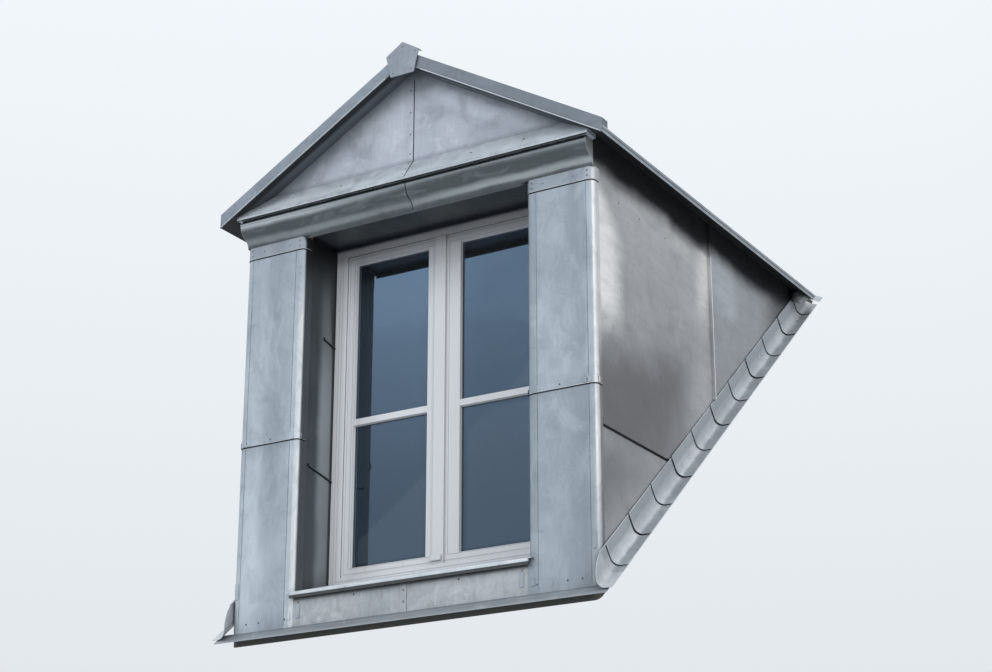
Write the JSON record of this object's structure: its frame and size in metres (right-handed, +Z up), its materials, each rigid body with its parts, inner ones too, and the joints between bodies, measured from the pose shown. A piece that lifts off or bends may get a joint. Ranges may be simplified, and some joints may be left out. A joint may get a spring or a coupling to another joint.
{
  "type": "zinc-clad gabled dormer window",
  "caption": "Gabled dormer in weathered zinc sheet over a timber frame: casement window in a deep recess, pilasters, moulded cornice, pediment and stepped flashings.",
  "frame": {"origin": "middle of the front sole plate's bevelled underside, which lies on the main roof's timber plane", "axes": "+X to the right along the front, +Y into the main roof, +Z up; the main roof rises towards +Y at 40 degrees"},
  "size_m": [1.658, 2.6272, 2.1936],
  "materials": {
    "zinc": "weathered zinc sheet, blue-grey patina",
    "timber": "sawn softwood",
    "window_paint": "pale grey paint",
    "glass": "clear window glass"
  },
  "bodies": {
    "root": {"sole_plate_front": "timber", "side_sole_plates": "timber", "post_left": "timber", "post_right": "timber", "sill_beam": "timber", "jamb_boards": "timber", "head_board": "timber", "lintel": "timber", "wall_plates": "timber", "cheek_studs": "timber", "cheek_boarding_left": "timber", "cheek_boarding_right": "timber", "gable_boarding": "timber", "ridge_board": "timber", "rafters": "timber", "valley_boards": "timber", "roof_boarding_left": "timber", "roof_boarding_right": "timber", "roof_sheets_left": "zinc", "roof_sheets_right": "zinc", "ridge_cap": "zinc", "verge_left": "zinc", "verge_right": "zinc", "apex_cap": "zinc", "cornice": "zinc", "pediment_ledge": "zinc", "pediment_sheets": "zinc", "pilaster_sheets_left": "zinc", "pilaster_sheets_right": "zinc", "pilaster_heads": "zinc", "reveals": "zinc", "recess_soffit": "zinc", "cheek_sheets_left": "zinc", "cheek_sheets_right": "zinc", "soakers_left": "zinc", "soakers_right": "zinc", "valley_flashing_left": "zinc", "valley_flashing_right": "zinc", "front_apron": "zinc", "apron_panel": "zinc", "sill_ledge": "zinc", "window_frame": "window_paint", "sash_left": "window_paint", "sash_right": "window_paint", "panes": "glass"}
  },
  "joints": []
}
